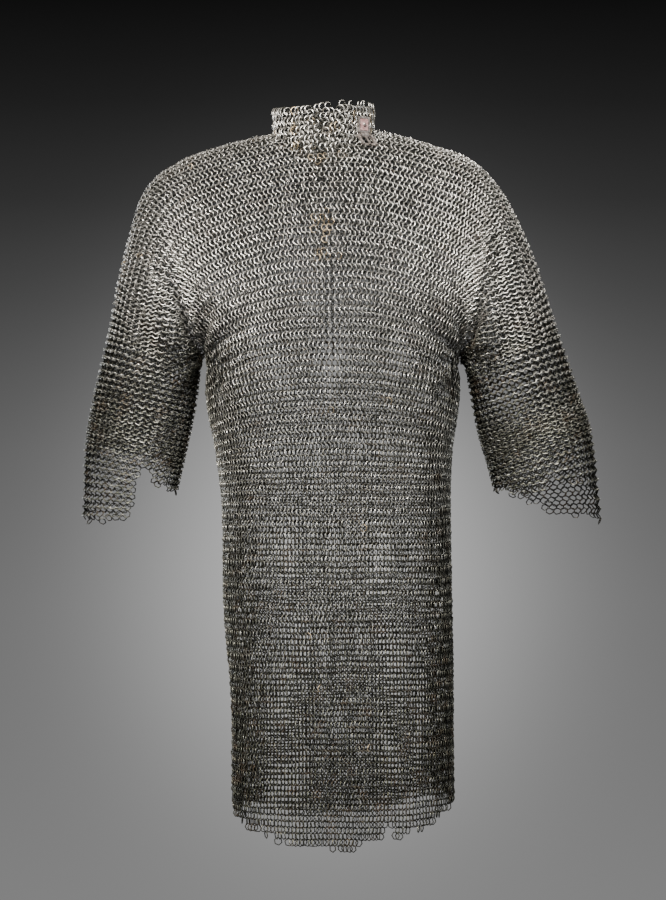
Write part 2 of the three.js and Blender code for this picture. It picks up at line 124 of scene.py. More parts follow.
YOKE_ROWS = 40  # from the shoulder line to the armpit, in front and again behind
CHEST_COLUMNS, FAN_COLUMNS, SLEEVE_COLUMNS = 40, 24, 27  # on each side of the middle
BODY_RINGS = 161  # in each closed row below the armpits
WAIST_ROWS, BODY_ROWS = 44, 92  # rows from the armpits to the foot of the waist, and to the hem
ROW_PITCH = 6.6
FLAT_ROWS = 34  # rows below the armpits before the rows hang level
CLOSEST = 4.4  # rings of a row never stand closer than this, so rows lose rings where they crowd
COLLAR_RINGS, COLLAR_ROWS, COLLAR_ROW_PITCH = 62, 14, 5.6
COLLAR_EDGE = 3  # from the top edge down to the middle of the first row
COLLAR_LOST = 0.22  # share of the rings that the top row has lost
HEM_STRAYS = ((83, 10), (94, 8), (109, 7), (-65, 9))  # x of a few rings that hang on, their length
STEP, SHARE_STEP = 0.02, 0.004  # the short ways that give the directions of the mail
RING_FACETS, COLLAR_FACETS = (6, 3), (9, 4)  # round the ring, round its wire
MAP_MARGIN = 0.05  # round each ring's cell of the unrolled map
SLEEVE_SEED, COLLAR_SEED = 3, 5
MM = 0.001

# ---- Wear and painted shade, in millimetres and shares ----

LOOSE = {"all": 0.25, "chest": 0.5, "slit": 0.9, "collar": 0.75}
BRASS = {"patch": 0.85, "slit": 0.25, "all": 0.001, "collar": 0.05}  # share of the rings there
# how far each ring's colour is darkened: down the trunk, skirt and arms and at the armpits this is painted
# shade of light falling off downward and of the armpit shadow; the hem flaps and the back are only made
# darker
SHADE_AND_DARKENING = {"trunk": 0.3, "skirt": 0.55, "armpit": 0.3, "arm": 0.3, "flap": 0.6, "back": 0.1}
SLIT_REACH, SLIT_FOOT, SLIT_BRASS_LOW = 9, 8, -25
CHEST_MIDDLE, CHEST_REACH, BODY_MIDDLE = 5, 130, 9
# middle across, reach across, middle height, reach up and down
BRASS_PATCH = (2, 11, -103, 24)
# where the painted armpit shadow lies
ARMPIT_SHADOW = (148, 34, -262, 60)
HEM_FLAPS = ((18, 26, -792, 22), (66, 15, -738, 16))
MAIL_BRIGHT, COLLAR_BRIGHT = -0.14, -0.2

# ---- The eye, the backdrop and the lights, in metres ----

EYE_X, EYE_DROP, EYE_DISTANCE, LENS, SENSOR = 0.0103, 0.351, 3.2, 111.3, 36
# share of the picture's height, painted brightness of the glowing backdrop there, darker upward
BACKDROP_LEVELS = (
    (0.0, 0.222), (1.0, 0.007), (0.17, 0.19), (0.33, 0.165), (0.5, 0.122),
    (0.67, 0.064), (0.78, 0.034), (0.89, 0.017), (0.935, 0.0125),
)
# a painted pool of light glowing on the backdrop behind the shirt
GLOW, GLOW_MIDDLE, GLOW_HALF_WIDTH, GLOW_HALF_HEIGHT = 0.47, 0.38, 0.2, 0.245
FLOOR, WALL, SWEEP_NEAR, SWEEP_TOP, SWEEP_HALF_WIDTH = -1.05, 6.5, -7.0, 7.0, 8.0
BEND, BEND_STEPS = 1.2, 8
ROOM_COLOUR, ROOM_STRENGTH = (0.3, 0.31, 0.32, 1), 0.13
WARM, COOL = (1.0, 0.96, 0.9), (0.92, 0.96, 1.0)
# name, place, what it shines at, size, watts, colour
LIGHTS = (
    ("key", (-0.7, -1.9, 1.5), (0, 0, -0.05), 0.8, 165, WARM),
    ("fill", (1.7, -2.4, 0.7), (0, 0, -0.3), 1.0, 26, COOL),
    ("top", (0.2, -0.9, 1.4), (0, 0, -0.05), 0.6, 44, WARM),
    ("behind", (0.9, 3.0, 1.5), (0, 0, -0.3), 1.2, 75, WARM),
    ("behind_low", (-1.8, 2.4, 0.0), (0, 0, -0.4), 1.2, 24, COOL),
)

# ---- The surface that the mail follows ----


def smoothstep(low, high, value):
    part = np.clip((value - low) / (high - low), 0, 1)
    return part * part * (3 - 2 * part)


class SmoothTable:
    """The columns of a table on smooth curves between its rows."""

    def __init__(self, rows):
        rows = np.array(sorted(rows), dtype=float)
        self.places, self.values = rows[:, 0], rows[:, 1:]
        last = len(rows) - 1
        before = np.maximum(np.arange(last + 1) - 1, 0)
        after = np.minimum(np.arange(last + 1) + 1, last)
        span = (self.places[after] - self.places[before])[:, None]
        self.slopes = (self.values[after] - self.values[before]) / span

    def __call__(self, place):
        place = np.asarray(place, dtype=float)
        row = np.clip(np.searchsorted(self.places, place) - 1, 0, len(self.places) - 2)
        step = (self.places[row + 1] - self.places[row])[..., None]
        part = (place - self.places[row])[..., None] / step
        square, cube = part**2, part**3
        found = (
            (2 * cube - 3 * square + 1) * self.values[row]
            + (cube - 2 * square + part) * self.slopes[row] * step
            + (3 * square - 2 * cube) * self.values[row + 1]
            + (cube - square) * self.slopes[row + 1] * step
        )
        return tuple(np.moveaxis(found, -1, 0))


body_at = SmoothTable(BODY_SECTIONS)
shoulder_at = SmoothTable(SHOULDER_LINE)


def power(value, exponent):
    return np.sign(value) * np.abs(value) ** exponent


def body_point(turn, height, face):
    """A point of the body at a turn from the middle of its front or back."""
    middle, half_width, front, back = body_at(height)
    depth = front if face == FRONT else back
    angle = np.radians(turn)
    x = middle + half_width * power(np.sin(angle), 2 / ROUNDNESS)
    y = face * depth * power(np.maximum(np.cos(angle), 0), 2 / ROUNDNESS)
    return np.stack([x, y, height + 0 * x], axis=-1)


def shoulder_point(place, down, face):
    """A point of the shoulders or sleeves: down runs from the shoulder line to the armpit."""
    place, down = np.broadcast_arrays(np.asarray(place, dtype=float), down)
    top_x, top_z, top_pull, pull_x, pull_y, pull_z, turn, low_x, low_z = shoulder_at(place)
    on_body = (np.abs(place) < ARMHOLE)[..., None]
    zero = np.zeros_like(top_x)
    on_arm = np.stack([low_x, zero, low_z], axis=-1)
    low = np.where(on_body, body_point(turn, low_z, face), on_arm)
    _, _, front, back = body_at(low_z)
    fuller = 1 if face == FRONT else back / front
    corners = (
        np.stack([top_x, zero, top_z], axis=-1),
        np.stack([top_x, face * top_pull, top_z], axis=-1),
        np.stack([pull_x, face * pull_y * fuller, pull_z], axis=-1),
        low,
    )
    rest = 1 - down
    weights = (rest**3, 3 * rest**2 * down, 3 * rest * down**2, down**3)
    return sum(weight[..., None] * corner for weight, corner in zip(weights, corners))


def fold_height(point):
    """How far the mail stands out from its even surface."""
    x, y, z = point[..., 0], point[..., 1], point[..., 2]
    low_x, low_z = shoulder_at(np.where(x < 0, -ARMHOLE, ARMHOLE))[7:9]
    out = np.abs(x) - np.abs(low_x)
    away = np.hypot(out, z - low_z)
    near, far = ARMPIT_FOLDS["nearest"], ARMPIT_FOLDS["farthest"]
    fade = smoothstep(0, near, away) * (1 - smoothstep(near, far, away))
    fan = np.sin(ARMPIT_FOLDS["spread"] * np.arctan2(z - low_z, -out) + ARMPIT_FOLDS["phase"])
    slack = smoothstep(-SKIRT_FLUTES["from"], -SKIRT_FLUTES["full"], -z)
    flute = np.sin(SKIRT_FLUTES["count"] * np.arctan2(x, -y) + SKIRT_FLUTES["phase"])
    return ARMPIT_FOLDS["height"] * fade * fan + SKIRT_FLUTES["height"] * slack * flute


def unit(vectors):
    return vectors / np.maximum(np.linalg.norm(vectors, axis=-1, keepdims=True), 1e-9)


class Yoke:
    """The mail of the shoulders and sleeves on one face. A share is how far down its way from the
    shoulder line to the armpit a ring hangs."""

    BEYOND_CUFF = 0.3
    PLACES, DOWNS, SHARES = 373, 49, 97  # of the table that spaces the rows evenly

    def __init__(self, face):
        self.face = face
        reach = CUFF + self.BEYOND_CUFF
        self.grid = np.linspace(-reach, reach, self.PLACES)
        downs = np.linspace(0, 1, self.DOWNS)
        points = shoulder_point(self.grid[:, None], downs[None, :], face)
        steps = np.linalg.norm(np.diff(points, axis=1), axis=-1)
        length = np.concatenate([np.zeros((len(steps), 1)), np.cumsum(steps, axis=1)], axis=1)
        self.shares = np.linspace(0, 1, self.SHARES)
        self.downs = np.array([np.interp(self.shares, row / row[-1], downs) for row in length])

    def even(self, place, share):
        """The surface without its folds."""
        column = np.interp(place, self.grid, np.arange(len(self.grid)))
        row = np.interp(share, self.shares, np.arange(len(self.shares)))
        i = np.minimum(column.astype(int), len(self.grid) - 2)
        j = np.minimum(row.astype(int), len(self.shares) - 2)
        a, b = column - i, row - j
        table = self.downs
        down = (1 - a) * ((1 - b) * table[i, j] + b * table[i, j + 1]) + a * (
            (1 - b) * table[i + 1, j] + b * table[i + 1, j + 1]
        )
        return shoulder_point(place, down, self.face)

    def around(self, place, share):
        """The places to either side of a ring, and the shares above and below it."""
        above, below = np.maximum(share - SHARE_STEP, 0), np.minimum(share + SHARE_STEP, 1)
        return place - STEP, place + STEP, above, below


class Body:
    """The closed rows below the armpits on one face. A share counts rows down from the armpit."""

    MEASURED_AT = -400.0  # height of the section that spaces the rings evenly

    def __init__(self, face):
        self.face = face
        self.turns = np.linspace(0, 90, 181)
        heights = np.full_like(self.turns, self.MEASURED_AT)
        section = body_point(self.turns, heights, face)
        steps = np.linalg.norm(np.diff(section, axis=0), axis=-1)
        length = np.concatenate([[0], np.cumsum(steps)])
        self.length = length / length[-1]

    def even(self, place, share):
        """The surface without its folds."""
        found = shoulder_at(place)
        turn, low_z = found[6], found[8]
        middle_z = shoulder_at(0.0)[8]
        equal = np.sign(place) * np.interp(np.abs(place) / ARMHOLE, self.length, self.turns)
        settled = smoothstep(0, FLAT_ROWS / 2, share)
        droop = (low_z - middle_z) * (1 - smoothstep(0, FLAT_ROWS, share))
        height = middle_z - ROW_PITCH * share + droop
        return body_point(turn + (equal - turn) * settled, height, self.face)

    def around(self, place, share):
        """The places to either side of a ring, and the shares above and below it."""
        low, high = np.maximum(place - STEP, -ARMHOLE), np.minimum(place + STEP, ARMHOLE)
        return low, high, np.maximum(share - STEP, 0), share + STEP


def folded(surface, place, share):
    """The surface with its folds, and the directions along a row, across it and outward."""
    low, high, above, below = surface.around(place, share)
    along = unit(surface.even(high, share) - surface.even(low, share))
    across = surface.even(place, below) - surface.even(place, above)
    across = unit(across - along * np.sum(across * along, axis=-1, keepdims=True))
    out = surface.face * np.cross(along, across)
    point = surface.even(place, share)
    return point + out * fold_height(point)[..., None], along, across, out


# ---- Rings ----


class Rings:
    """Rings of one kind, a row of each array for each: where they are, the axes of the mail there,
    which way they lean, their place and share, how loose and brassy they are, and how far their colour is
    darkened, mostly as painted shade."""

    FIELDS = ("point", "along", "across", "out", "lean", "place", "share", "loose", "brass", "grime")

    def __init__(self, **fields):
        for name in Rings.FIELDS:
            setattr(self, name, fields[name])

    def __len__(self):
        return len(self.point)

    def kept(self, choice):
        return Rings(**{name: getattr(self, name)[choice] for name in Rings.FIELDS})


def joined(parts):
    return Rings(
        **{name: np.concatenate([getattr(part, name) for part in parts]) for name in Rings.FIELDS}
    )


def set_rings(point, along, across, out, lean, place, share):
    """One row of rings, which all lean one way."""
    count = len(point)
    return Rings(
        point=point,
        along=along,
        across=across,
        out=out,
        lean=np.full(count, lean),
        place=place,
        share=np.full(count, share),
        loose=np.zeros(count),
        brass=np.zeros(count),
        grime=np.zeros(count),
    )


def place_of(column):
    """The place along the shoulder line of a column of rings, counted from the middle."""
    ends = np.cumsum([0, CHEST_COLUMNS, FAN_COLUMNS, SLEEVE_COLUMNS])
    return np.sign(column) * np.interp(np.abs(column), ends, [0, ARMHOLE, SLEEVE_TOP, CUFF])


def thinned(surface, column, share, odd):
    """Which columns of a row are set. Where they crowd, only every second, fourth or eighth is."""
    ahead = surface.even(place_of(column + 0.5), share)
    behind = surface.even(place_of(column - 0.5), share)
    pitch = np.linalg.norm(ahead - behind, axis=-1)
    level = np.clip(np.ceil(np.log2(CLOSEST / np.maximum(pitch, 0.3))), 0, 3)
    whole = 2.0 ** np.where(np.abs(column) <= CHEST_COLUMNS, 0, level)
    start = np.where(odd, whole / 2, 0)
    distance = np.abs(np.mod(column - start + whole / 2, whole) - whole / 2)
    return distance < 0.01


def yoke_rings(face):
    """Rows from cuff to cuff over one face of the shoulders."""
    surface = Yoke(face)
    last = CHEST_COLUMNS + FAN_COLUMNS + SLEEVE_COLUMNS
    every = np.arange(-2 * last, 2 * last + 1) / 2
    parts = []
    for row in range(YOKE_ROWS):
        odd = (row % 2 == 1) == (face == FRONT)
        share = (row + 0.5) / YOKE_ROWS
        place = place_of(every[thinned(surface, every, share, odd)])
        lean = -1.0 if odd else 1.0
        parts.append(set_rings(*folded(surface, place, share), lean, place, share))
    return joined(parts)


def body_rings(face, first, last):
    """Closed rows below the armpits, as far as one face of the body goes."""
    surface = Body(face)
    whole = np.arange(-CHEST_COLUMNS, CHEST_COLUMNS + 1)
    between = whole[:-1] + 0.5
    parts = []
    for row in range(first, last):
        odd = (row % 2 == 1) == (face == FRONT)
        column = (between if odd else whole) * (4 * CHEST_COLUMNS / BODY_RINGS)
        place = np.clip(column * ARMHOLE / CHEST_COLUMNS, -ARMHOLE, ARMHOLE)
        lean, share = -1.0 if odd else 1.0, row + 0.5
        parts.append(set_rings(*folded(surface, place, share), lean, place, share))
    return joined(parts)


def near(value, middle, reach):
    """1 at the middle, and next to nothing beyond twice the reach."""
    return np.exp(-(((value - middle) / reach) ** 2))


def spot(x, z, middle_x, reach_x, middle_z, reach_z):
    return near(x, middle_x, reach_x) * near(z, middle_z, reach_z)


def worn_and_shaded(rings, chance):
    """Loosens the rings of the chest and by the slit, picks the brass ones, and darkens rings: painted
    shade lower down and at the armpits, and darker hem flaps and back.
    """
    x, y, z = rings.point.T
    in_front = y < 0
    by_slit = near(x, SLIT_X, SLIT_REACH) * (z > SLIT_BOTTOM - SLIT_FOOT) * in_front
    chest = near(x, CHEST_MIDDLE, CHEST_REACH) * smoothstep(-230, -60, z)
    chest = chest * (np.abs(rings.place) < ARMHOLE)
    loose = LOOSE["all"] + LOOSE["chest"] * chest + LOOSE["slit"] * by_slit
    rings.loose[:] = np.clip(loose, 0, 1)
    patch = spot(x, z, *BRASS_PATCH) * in_front
    share = BRASS["patch"] * patch + BRASS["slit"] * by_slit * (z > SLIT_BRASS_LOW) + BRASS["all"]
    rings.brass[:] = chance.random(len(rings)) < share
    # painted shade: darker down the trunk, skirt and arms and in the armpit shadow; the flaps and the back
    # only darker
    trunk, skirt = smoothstep(-150, -330, z), smoothstep(-250, -760, z)
    arm = (np.abs(rings.place) > ARMHOLE) * smoothstep(-120, -300, z)
    armpit = spot(np.abs(x - BODY_MIDDLE), z, *ARMPIT_SHADOW)
    flap = sum(spot(x, z, *place) for place in HEM_FLAPS)
    grime = SHADE_AND_DARKENING["trunk"] * trunk + SHADE_AND_DARKENING["skirt"] * skirt + SHADE_AND_DARKENING["armpit"] * armpit
    grime = grime + SHADE_AND_DARKENING["arm"] * arm + SHADE_AND_DARKENING["flap"] * flap + SHADE_AND_DARKENING["back"] * (y > 0)
    rings.grime[:] = np.clip(grime, 0, 1)
    return rings


def outside_neck(rings):
    x, y, z = rings.point.T
    across = (x - COLLAR_MIDDLE) / (COLLAR_HALF_WIDTH + 0.5)
    return (across**2 + (y / (COLLAR_HALF_DEPTH + 0.5)) ** 2 > 1) | (z < NECK_LOW)


def off_slit(rings, chance):
    x, y, z = rings.point.T
    middle = SLIT_X + SLIT_SWAY * np.sin(z / SLIT_WAVE) + chance.normal(0, SLIT_RAGGED, len(rings))
    return (np.abs(x - middle) > SLIT_HALF_WIDTH) | (z < SLIT_BOTTOM) | (y > 0)


def above_hem(rings, face, chance):
    x, _, z = rings.point.T
    edge = np.interp(x, *np.array(HEMS[face]).T)
    if face == FRONT:
        for at, length in HEM_STRAYS:
            edge = edge - length * (np.abs(x - at) < 4)
    return z > edge + chance.uniform(-5, 2, len(rings))


def inside_cuff(rings, face, chance):
    turn = rings.share * 180 if face == FRONT else 360 - rings.share * 180
    left = np.interp(turn, *np.array(CUFFS[-1]).T)
    right = np.interp(turn, *np.array(CUFFS[1]).T)
    edge = np.where(rings.place < 0, left, right) + chance.uniform(-0.06, 0.08, len(rings))
    return np.abs(rings.place) < edge


def collar_rings(yoke, chance):
    """The standing band: its rows follow its ragged top edge and end where it meets the shoulders."""
    turns, heights = np.array(COLLAR_TOP).T
    parts = []
    for row in range(COLLAR_ROWS):
        turn = (np.arange(COLLAR_RINGS) + 0.5 * (row % 2)) * 360 / COLLAR_RINGS - 180
        sine, cosine = np.sin(np.radians(turn)), np.cos(np.radians(turn))
        x, y = COLLAR_MIDDLE + COLLAR_HALF_WIDTH * sine, -COLLAR_HALF_DEPTH * cosine
        z = np.interp(turn, turns, heights) - COLLAR_EDGE - COLLAR_ROW_PITCH * row
        point = np.stack([x, y, z], -1)
        along = unit(np.stack([COLLAR_HALF_WIDTH * cosine, COLLAR_HALF_DEPTH * sine, 0 * x], -1))
        across = np.tile([0.0, 0.0, -1.0], (len(x), 1))
        out, lean = np.cross(across, along), -1.0 if row % 2 else 1.0
        parts.append(set_rings(point, along, across, out, lean, turn / 90, float(row)))
    rings = joined(parts)
    away = rings.point[:, None, :2] - yoke.point[None, :, :2]
    foot = yoke.point[np.argmin(np.hypot(away[..., 0], away[..., 1]), axis=1), 2]
    x, y, z = rings.point.T
    lost = (rings.share < 1) & (chance.random(len(rings)) < COLLAR_LOST)
    from_gap = np.abs(x - SLIT_X - COLLAR_GAP_SWAY * np.sin(z / COLLAR_GAP_WAVE))
    rings = rings.kept((z > foot - 1) & ((from_gap > COLLAR_GAP) | (y > 0)) & ~lost)
    rings.loose[:] = LOOSE["collar"]
    rings.brass[:] = chance.random(len(rings)) < BRASS["collar"]
    return rings


def sway(rings):
    """The slow unevenness of hanging mail: rows that rise and sink, and shallow dents."""
    x, y, z = rings.point.T
    round_body = x + 0.7 * y
    rise = np.sin(round_body / 27 + 1.7 * np.sin(z / 63)) + 0.6 * np.sin(round_body / 11 + z / 37)
    dent = np.sin(round_body / 34 - z / 58) + 0.7 * np.sin(round_body / 17 + z / 29 + 2)
    slack = 0.45 + 0.6 * rings.loose
    return (slack * rise)[:, None] * rings.across + (0.8 * slack * dent)[:, None] * rings.out


def ring_corners(rings, radius, wire, lean, facets, chance):
    """The corners of every ring in metres, and how far outward each lies in it, from -1 to 1."""
    segments, sides = facets
    count = len(rings)
    slack = (0.6 + 1.6 * rings.loose)[:, None]
    tilt = rings.lean * lean + chance.normal(0, 0.07, count) * slack[:, 0]
    tip = chance.normal(0, 0.06, (count, 1)) * slack
    normal = np.cos(tilt)[:, None] * rings.out + np.sin(tilt)[:, None] * rings.along
    first = unit(rings.across + tip * normal)
    normal = unit(normal - first * np.sum(normal * first, axis=1, keepdims=True))
    second = np.cross(normal, first)
    centre = rings.point + sway(rings) + chance.normal(0, 0.22, (count, 3)) * slack
    size = radius * (1 + chance.normal(0, 0.025, count))
    steps = np.arange(segments) * 2 * math.pi / segments
    round_ring = chance.random((count, 1)) * 2 * math.pi + steps
    round_wire = (np.arange(sides) * 2 * math.pi / sides)[None, None, :, None]
    spoke = np.cos(round_ring)[..., None] * first[:, None] + np.sin(round_ring)[..., None] * second[:, None]
    reach = size[:, None, None, None] + wire * np.cos(round_wire)
    offset = reach * spoke[:, :, None] + wire * np.sin(round_wire) * normal[:, None, None]
    corners = (centre[:, None, None] + offset).reshape(-1, 3) * MM
    outward = np.einsum("nijk,nk->nij", offset, rings.out) / (radius * math.sin(lean) + wire)
    return corners, outward.reshape(-1)


def ring_mesh(name, corners, facets):
    """A mesh of closed rings, each unrolled in a cell of its own on the map."""
    segments, sides = facets
    count = len(corners) // (segments * sides)
    i, j = np.meshgrid(np.arange(segments), np.arange(sides), indexing="ij")
    here, next_i, next_j = i * sides, (i + 1) % segments * sides, (j + 1) % sides
    face = np.stack([here + j, next_i + j, next_i + next_j, here + next_j], -1)
    faces = face.reshape(1, -1) + (np.arange(count) * segments * sides)[:, None]
    mesh = bpy.data.meshes.new(name)
    mesh.vertices.add(len(corners))
    mesh.vertices.foreach_set("co", corners.astype(np.float32).ravel())
    mesh.loops.add(faces.size)
    mesh.loops.foreach_set("vertex_index", faces.ravel().astype(np.int32))
    mesh.polygons.add(faces.size // 4)
    mesh.polygons.foreach_set("loop_start", np.arange(0, faces.size, 4, dtype=np.int32))
    mesh.polygons.foreach_set("use_smooth", np.ones(faces.size // 4, dtype=bool))
    cells, cell = math.ceil(math.sqrt(count)), np.arange(count)[:, None]
    inner = 1 - 2 * MAP_MARGIN
    corner_u = np.stack([i, i + 1, i + 1, i], -1).reshape(1, -1) / segments * inner + MAP_MARGIN
    corner_v = np.stack([j, j, j + 1, j + 1], -1).reshape(1, -1) / sides * inner + MAP_MARGIN
    u, v = (cell % cells + corner_u) / cells, (cell // cells + corner_v) / cells
    unrolled = mesh.uv_layers.new(name="OFBake")
    unrolled.data.foreach_set("uv", np.stack([u, v], -1).astype(np.float32).ravel())
    return mesh


def ring_piece(name, rings, radius, wire, lean, facets, seed):
    """One mesh of all the rings, with the columns that their finish reads."""
    chance = np.random.default_rng(seed)
    count, per_ring = len(rings), facets[0] * facets[1]
    corners, outward = ring_corners(rings, radius, wire, lean, facets, chance)
    mesh = ring_mesh(name, corners, facets)
    tone = np.clip(chance.normal(0.5, 0.22, count), 0, 1)
    # the painted shade and darkening, with a random share for each ring
    grime = np.clip(rings.grime + chance.normal(0, 0.1, count), 0, 1)
    columns = {
        # 0 on the inner side of each ring, 1 on the outer: the finish turns this into a painted highlight
        # on the outer side and painted shade on the inner side, with some rub polish
        "wear": np.clip(0.5 + 0.5 * outward, 0, 1),
        "tone": np.repeat(tone, per_ring),
        "brass": np.repeat(rings.brass, per_ring),
        "grime": np.repeat(grime, per_ring),
    }
    for title, values in columns.items():
        column = mesh.attributes.new(title, "FLOAT", "POINT")
        column.data.foreach_set("value", values.astype(np.float32))
    mesh.update(calc_edges=True)
    piece = bpy.data.objects.new(name, mesh)
    bpy.context.scene.collection.objects.link(piece)
    return piece


# ---- Finishes ----


def plug(tree, socket, value):
    if isinstance(value, Value):
        tree.links.new(value.socket, socket)
    elif isinstance(value, bpy.types.NodeSocket):
        tree.links.new(value, socket)
    elif hasattr(value, "__len__") and len(value) == 3 and socket.type == "RGBA":
        socket.default_value = (*value, 1)
    else:
        socket.default_value = value


class Value:
    """A value in a material's tree: sums and products of it add Math nodes."""

    def __init__(self, tree, socket):
        self.tree, self.socket = tree, socket

    def worked(self, operation, *terms, clamp=False):
        node = self.tree.nodes.new("ShaderNodeMath")
        node.operation, node.use_clamp = operation, clamp
        for socket, term in zip(node.inputs, terms):
            plug(self.tree, socket, term)
        return Value(self.tree, node.outputs[0])

    def __add__(self, other):
        return self.worked("ADD", self, other)

    __radd__ = __add__

    def __sub__(self, other):
        return self.worked("SUBTRACT", self, other)

    def __rsub__(self, other):
        return self.worked("SUBTRACT", other, self)

    def __mul__(self, other):
        return self.worked("MULTIPLY", self, other)

    __rmul__ = __mul__

    def __truediv__(self, other):
        return self.worked("DIVIDE", self, other)

    def __rtruediv__(self, other):
        return self.worked("DIVIDE", other, self)

    def exponential(self):
        return self.worked("EXPONENT", self)

    def clamped(self):
        return self.worked("ADD", self, 0.0, clamp=True)


class Finish:
    """A material under construction."""

    def __init__(self, name):
        self.material = bpy.data.materials.new(name)
        self.material.use_nodes = True
        self.tree = self.material.node_tree
        self.tree.nodes.clear()

    def node(self, kind, settings, inputs):
        node = self.tree.nodes.new(kind)
        for name, value in settings.items():
            setattr(node, name, value)
        for key, value in inputs.items():
            plug(self.tree, node.inputs[key], value)
        return node

    def column(self, name):
        found = self.node("ShaderNodeAttribute", {"attribute_name": name}, {})
        return Value(self.tree, found.outputs["Fac"])

    def place(self):
        return self.node("ShaderNodeTexCoord", {}, {}).outputs["Object"]

    def mottle(self, scale, detail):
        inputs = {"Vector": self.place(), "Scale": scale, "Detail": detail}
        return Value(self.tree, self.node("ShaderNodeTexNoise", {}, inputs).outputs[0])

    def mixed(self, share, first, second):
        node = self.node("ShaderNodeMix", {"data_type": "RGBA"}, {0: share, 6: first, 7: second})
        return node.outputs[2]

    def done(self, shader):
        output = self.node("ShaderNodeOutputMaterial", {}, {})
        self.tree.links.new(shader.outputs[0], output.inputs["Surface"])
        return self.material


def mail_finish(name, settings, bright):
    """Iron bright on each ring's outer side, partly rub polish and mostly painted highlight, and near-black
    in its depth as painted shade with some patina; darker where shade is painted.
    """
    if name in bpy.data.materials:
        return bpy.data.materials[name]
    finish = Finish(name)
    wear, tone = finish.column("wear"), finish.column("tone")
    brass, grime = finish.column("brass"), finish.column("grime")
    speck = finish.mottle(700, 2) - 0.5
    cloud = finish.mottle(9, 3) - 0.5
    # painted highlight along the outer crest of each ring, partly rub polish
    crest_sheen = wear * wear * 1.3 - 0.3
    # shine mixes the painted crest highlight, random tone and mottle, and is lowered where shade is painted
    shine = (crest_sheen + tone * 0.5 + speck * 0.6 + cloud * 0.4 - grime * 0.7 + bright).clamped()
    # share of olive iron, which follows the painted shade and darkening
    shade_olive = (grime * 1.1 - 0.05).clamped()
    # where shine is low the near-black colour shows: painted shade in the depth of the mail, with some real
    # patina
    iron = finish.mixed(shine, settings.patina_and_shade, finish.mixed(shade_olive, settings.iron, settings.shade_olive))
    rust = (finish.mottle(60, 4) * 3 - 1.75 + grime * 0.3).clamped() * 0.5
    iron = finish.mixed(rust, iron, settings.rust)
    # brass shows most on the outer side of a ring: partly painted highlight
    colour = finish.mixed(brass * (0.35 + 0.65 * wear), iron, settings.brass)
    surface = {
        "Base Color": colour,
        "Roughness": 0.52 - 0.27 * shine,
        "Metallic": 0.55 + 0.4 * shine,
    }
    return finish.done(finish.node("ShaderNodeBsdfPrincipled", {}, surface))


def buckle_finish(name, dark, light, metallic, roughness):
    """A hand-made fitting with mottled, slightly pitted faces."""
    finish = Finish(name)
    mottle = (finish.mottle(260, 5) * 2.4 - 0.7).clamped()
    bump = finish.node(
        "ShaderNodeBump", {}, {"Strength": 0.35, "Distance": 0.0004, "Height": finish.mottle(900, 3)}
    )
    surface = {
        "Base Color": finish.mixed(mottle, dark, light),
        "Roughness": roughness + 0.2 * mottle,
        "Metallic": metallic,
        "Normal": bump.outputs[0],
    }
    return finish.done(finish.node("ShaderNodeBsdfPrincipled", {}, surface))


def painted_light_backdrop():
    """Grey paper that glows with painted light: nearly black above, pale at the floor, with a painted pool
    of light behind the shirt.
    """
    finish = Finish("backdrop")
    parts = finish.node("ShaderNodeSeparateXYZ", {}, {0: finish.place()}).outputs
    x, y, z = (Value(finish.tree, parts[axis]) for axis in "XYZ")
    scale = (LENS / SENSOR) / (y + EYE_DISTANCE)
    height, side = (z + EYE_DROP) * scale + 0.5, (x - EYE_X) * scale
    ramp = finish.node("ShaderNodeValToRGB", {}, {"Fac": height.clamped()})
    stops = ramp.color_ramp.elements
    for index, (at, level) in enumerate(BACKDROP_LEVELS):
        stop = stops[index] if index < 2 else stops.new(at)
        stop.position, stop.color = at, (level, level, level, 1)
    beside, above = side / GLOW_HALF_WIDTH, (height - GLOW_MIDDLE) / GLOW_HALF_HEIGHT
    distance = beside * beside + above * above
    glow = (-1.0 * distance).exponential()
    level = Value(finish.tree, ramp.outputs[0]) + GLOW * glow
    return finish.done(finish.node("ShaderNodeEmission", {}, {"Color": level}))


# ---- Settings, operators and panel ----


def length_setting(name, description, default):
    return FloatProperty(
        name=name, description=description, default=default, min=0.0001, subtype="DISTANCE", unit="LENGTH"
    )


def colour_setting(name, description, default):
    return FloatVectorProperty(
        name=name, description=description, default=default, size=3, min=0, max=1, subtype="COLOR"
    )


class HauberkRings(bpy.types.PropertyGroup):
    radius: length_setting("Ring radius", "From the middle of a ring to the middle of its wire", 0.0043)
    wire: length_setting("Wire", "Radius of the wire of the shirt", 0.00072)
    collar_radius: length_setting("Collar ring radius", "Of the heavier rings of the collar", 0.0045)
    collar_wire: length_setting("Collar wire", "Radius of the wire of the collar", 0.00092)
    lean: FloatProperty(
        name="Lean",
        description="How far the rings of a row lean",
        default=math.radians(31),
        subtype="ANGLE",
        unit="ROTATION",
    )
    seed: IntProperty(name="Seed", description="Start of the unevenness", default=7, min=0)


class HauberkFinish(bpy.types.PropertyGroup):
    # iron shows on the outer crests as rub polish and painted highlight; the next colour is near-black
    # painted shade in the depth of the mail, with some real patina
    iron: colour_setting("Iron", "Polished iron", (0.76, 0.735, 0.69))
    patina_and_shade: colour_setting("Patina", "Iron in the depth of the mail", (0.014, 0.014, 0.009))
    rust: colour_setting("Rust", "Old rust", (0.16, 0.1, 0.06))
    # olive iron is the tint of the painted shade lower down and at the armpits, and of the darker places
    shade_olive: colour_setting("Olive iron", "Iron under old grime", (0.24, 0.25, 0.175))
    brass: colour_setting("Brass", "Rings of the repairs", (0.5, 0.4, 0.27))


